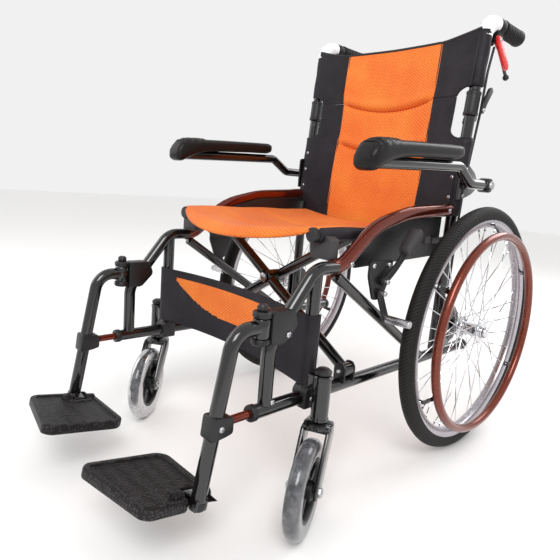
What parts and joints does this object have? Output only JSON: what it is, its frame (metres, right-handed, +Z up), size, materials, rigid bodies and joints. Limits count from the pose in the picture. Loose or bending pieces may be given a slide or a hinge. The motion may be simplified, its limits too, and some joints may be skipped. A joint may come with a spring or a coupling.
{
  "type": "wheelchair",
  "caption": "Folding manual wheelchair with spoked rear wheels, handrims, casters, flip-up arms, swing-away footrests and a half-folding back.",
  "frame": {"origin": "on the floor, at the middle of the footprint", "axes": "+Z up; the seat faces -Y; the user's left hand is at +X"},
  "size_m": [0.617, 0.9962, 0.878],
  "materials": {
    "black_paint": "gloss",
    "copper_paint": "metallic gloss",
    "black_plastic": "satin",
    "grey_plastic": "pebbled",
    "zinc_steel": "satin",
    "red_plastic": "gloss",
    "grip_rubber": "ribbed",
    "cable_sheath": "satin",
    "pad_foam": "soft grained",
    "tyre_rubber": "matt",
    "caster_tread": "translucent polyurethane",
    "aluminium_rim": "satin",
    "orange_mesh": "spacer mesh with charcoal bands"
  },
  "bodies": {
    "left_frame": {"left_lower_rail": "black_paint", "left_front_tube": "black_paint", "left_arch_tube": "copper_paint", "left_front_post": "black_paint", "left_rear_post": "black_paint", "left_diagonal_strut": "black_paint", "left_skirt_guard": "black_plastic", "left_frame_fittings": "zinc_steel", "left_brake_cable": "cable_sheath", "backrest_lower": "orange_mesh", "calf_strap": "orange_mesh"},
    "left_back": {"left_back_cane": "black_paint", "left_push_grip": "grip_rubber", "backrest_upper": "orange_mesh"},
    "left_arm": {"left_armrest_tube": "black_paint", "left_armrest_pad": "pad_foam"},
    "left_hanger": {"left_hanger_tube": "black_paint"},
    "left_footplate": {"left_footplate": "grey_plastic"},
    "left_hand_lever": {"left_hand_lever": "black_plastic"},
    "left_lock_lever": {"left_lock_lever": "red_plastic"},
    "left_latch_lever": {"left_latch_lever": "black_plastic"},
    "left_brake_lever": {"left_brake_lever": "black_plastic"},
    "left_brake_shoe": {"left_brake_shoe": "zinc_steel"},
    "left_caster_fork": {"left_caster_fork": "black_paint"},
    "left_caster_wheel": {"left_caster_tyre": "caster_tread", "left_caster_hub": "black_plastic"},
    "left_rear_wheel": {"left_rear_tyre": "tyre_rubber", "left_rear_rim": "aluminium_rim", "left_rear_hub": "black_plastic", "left_handrim": "copper_paint"},
    "right_frame": {"right_lower_rail": "black_paint", "right_front_tube": "black_paint", "right_arch_tube": "copper_paint", "right_front_post": "black_paint", "right_rear_post": "black_paint", "right_diagonal_strut": "black_paint", "right_skirt_guard": "black_plastic", "right_frame_fittings": "zinc_steel", "right_brake_cable": "cable_sheath"},
    "right_back": {"right_back_cane": "black_paint", "right_push_grip": "grip_rubber"},
    "right_arm": {"right_armrest_tube": "black_paint", "right_armrest_pad": "pad_foam"},
    "right_hanger": {"right_hanger_tube": "black_paint"},
    "right_footplate": {"right_footplate": "grey_plastic"},
    "right_hand_lever": {"right_hand_lever": "black_plastic"},
    "right_lock_lever": {"right_lock_lever": "red_plastic"},
    "right_latch_lever": {"right_latch_lever": "black_plastic"},
    "right_brake_lever": {"right_brake_lever": "black_plastic"},
    "right_brake_shoe": {"right_brake_shoe": "zinc_steel"},
    "right_caster_fork": {"right_caster_fork": "black_paint"},
    "right_caster_wheel": {"right_caster_tyre": "caster_tread", "right_caster_hub": "black_plastic"},
    "right_rear_wheel": {"right_rear_tyre": "tyre_rubber", "right_rear_rim": "aluminium_rim", "right_rear_hub": "black_plastic", "right_handrim": "copper_paint"},
    "cross_a": {"cross_bar_a": "black_paint"},
    "cross_b": {"cross_bar_b": "black_paint", "seat_sling": "orange_mesh"}
  },
  "joints": [
    {"name": "fold_bar_a", "type": "hinge", "parent": "left_frame", "child": "cross_a", "pos_m": [0.208, -0.085, 0.216], "axis": [0, 1, 0], "range_deg": [0, 40], "deforming": ["seat_sling", "backrest_upper", "backrest_lower", "calf_strap"]},
    {"name": "fold_bar_b", "type": "hinge", "parent": "cross_a", "child": "cross_b", "pos_m": [0, -0.085, 0.3394], "axis": [0, 1, 0], "range_deg": [-80, 0]},
    {"name": "fold_frame", "type": "hinge", "parent": "cross_b", "child": "right_frame", "pos_m": [-0.208, -0.063, 0.216], "axis": [0, 1, 0], "range_deg": [0, 40]},
    {"name": "left_back_fold", "type": "hinge", "parent": "left_frame", "child": "left_back", "pos_m": [0.208, 0.24071, 0.679], "axis": [-1, 0, 0], "range_deg": [0, 100], "deforming": ["left_brake_cable"]},
    {"name": "left_arm_flip", "type": "hinge", "parent": "left_frame", "child": "left_arm", "pos_m": [0.25, 0.24, 0.549], "axis": [-1, 0, 0], "range_deg": [0, 85]},
    {"name": "left_hanger_swing", "type": "hinge", "parent": "left_frame", "child": "left_hanger", "pos_m": [0.208, -0.297, 0.315], "axis": [0, 0, 1], "range_deg": [0, 75]},
    {"name": "left_footplate_flip", "type": "hinge", "parent": "left_hanger", "child": "left_footplate", "pos_m": [0.189, -0.39, 0.084], "axis": [0, 0.9823, -0.1873], "range_deg": [0, 88]},
    {"name": "left_hand_brake", "type": "hinge", "parent": "left_back", "child": "left_hand_lever", "pos_m": [0.208, 0.279, 0.836], "axis": [1, 0, 0], "range_deg": [0, 14], "stiffness_Nm_per_rad": 0.4},
    {"name": "left_hand_brake_lock", "type": "hinge", "parent": "left_back", "child": "left_lock_lever", "pos_m": [0.223, 0.264, 0.83], "axis": [-1, 0, 0], "range_deg": [0, 30]},
    {"name": "left_back_latch", "type": "hinge", "parent": "left_back", "child": "left_latch_lever", "pos_m": [0.227, 0.228, 0.692], "axis": [1, 0, 0], "range_deg": [0, 25]},
    {"name": "left_parking_lever", "type": "hinge", "parent": "left_frame", "child": "left_brake_lever", "pos_m": [0.232, -0.046, 0.372], "axis": [1, 0, 0], "range_deg": [0, 30]},
    {"name": "left_parking_shoe", "type": "hinge", "parent": "left_frame", "child": "left_brake_shoe", "pos_m": [0.2215, -0.05, 0.352], "axis": [1, 0, 0], "range_deg": [0, 12]},
    {"name": "left_caster_swivel", "type": "hinge", "parent": "left_frame", "child": "left_caster_fork", "pos_m": [0.242, -0.192, 0.2], "axis": [0, 0, 1], "continuous": true},
    {"name": "left_caster_roll", "type": "hinge", "parent": "left_caster_fork", "child": "left_caster_wheel", "pos_m": [0.2647, -0.23655, 0.075], "axis": [0.891, 0.454, 0], "continuous": true},
    {"name": "left_wheel_roll", "type": "hinge", "parent": "left_frame", "child": "left_rear_wheel", "pos_m": [0.264, 0.246, 0.254], "axis": [1, 0, 0], "continuous": true},
    {"name": "right_back_fold", "type": "hinge", "parent": "right_frame", "child": "right_back", "pos_m": [-0.208, 0.24071, 0.679], "axis": [-1, 0, 0], "range_deg": [0, 100], "deforming": ["right_brake_cable"]},
    {"name": "right_arm_flip", "type": "hinge", "parent": "right_frame", "child": "right_arm", "pos_m": [-0.25, 0.24, 0.549], "axis": [-1, 0, 0], "range_deg": [0, 85]},
    {"name": "right_hanger_swing", "type": "hinge", "parent": "right_frame", "child": "right_hanger", "pos_m": [-0.208, -0.297, 0.315], "axis": [0, 0, -1], "range_deg": [0, 75]},
    {"name": "right_footplate_flip", "type": "hinge", "parent": "right_hanger", "child": "right_footplate", "pos_m": [-0.189, -0.39, 0.084], "axis": [0, -0.9823, 0.1873], "range_deg": [0, 88]},
    {"name": "right_hand_brake", "type": "hinge", "parent": "right_back", "child": "right_hand_lever", "pos_m": [-0.208, 0.279, 0.836], "axis": [1, 0, 0], "range_deg": [0, 14], "stiffness_Nm_per_rad": 0.4},
    {"name": "right_hand_brake_lock", "type": "hinge", "parent": "right_back", "child": "right_lock_lever", "pos_m": [-0.223, 0.264, 0.83], "axis": [-1, 0, 0], "range_deg": [0, 30]},
    {"name": "right_back_latch", "type": "hinge", "parent": "right_back", "child": "right_latch_lever", "pos_m": [-0.227, 0.228, 0.692], "axis": [1, 0, 0], "range_deg": [0, 25]},
    {"name": "right_parking_lever", "type": "hinge", "parent": "right_frame", "child": "right_brake_lever", "pos_m": [-0.232, -0.046, 0.372], "axis": [1, 0, 0], "range_deg": [0, 30]},
    {"name": "right_parking_shoe", "type": "hinge", "parent": "right_frame", "child": "right_brake_shoe", "pos_m": [-0.2215, -0.05, 0.352], "axis": [1, 0, 0], "range_deg": [0, 12]},
    {"name": "right_caster_swivel", "type": "hinge", "parent": "right_frame", "child": "right_caster_fork", "pos_m": [-0.242, -0.192, 0.2], "axis": [0, 0, 1], "continuous": true},
    {"name": "right_caster_roll", "type": "hinge", "parent": "right_caster_fork", "child": "right_caster_wheel", "pos_m": [-0.21122, -0.2314, 0.075], "axis": [-0.788, -0.6157, 0], "continuous": true},
    {"name": "right_wheel_roll", "type": "hinge", "parent": "right_frame", "child": "right_rear_wheel", "pos_m": [-0.264, 0.246, 0.254], "axis": [-1, 0, 0], "continuous": true}
  ],
  "couplings": [
    {"joint": "fold_bar_b", "follows": "fold_bar_a", "ratio": -2},
    {"joint": "fold_frame", "follows": "fold_bar_a", "ratio": 1},
    {"joint": "left_footplate_flip", "follows": "fold_bar_a", "ratio": 2.2},
    {"joint": "right_footplate_flip", "follows": "fold_bar_a", "ratio": 2.2},
    {"joint": "right_back_fold", "follows": "left_back_fold", "ratio": 1},
    {"joint": "left_parking_shoe", "follows": "left_parking_lever", "ratio": 0.4},
    {"joint": "right_parking_shoe", "follows": "right_parking_lever", "ratio": 0.4}
  ]
}
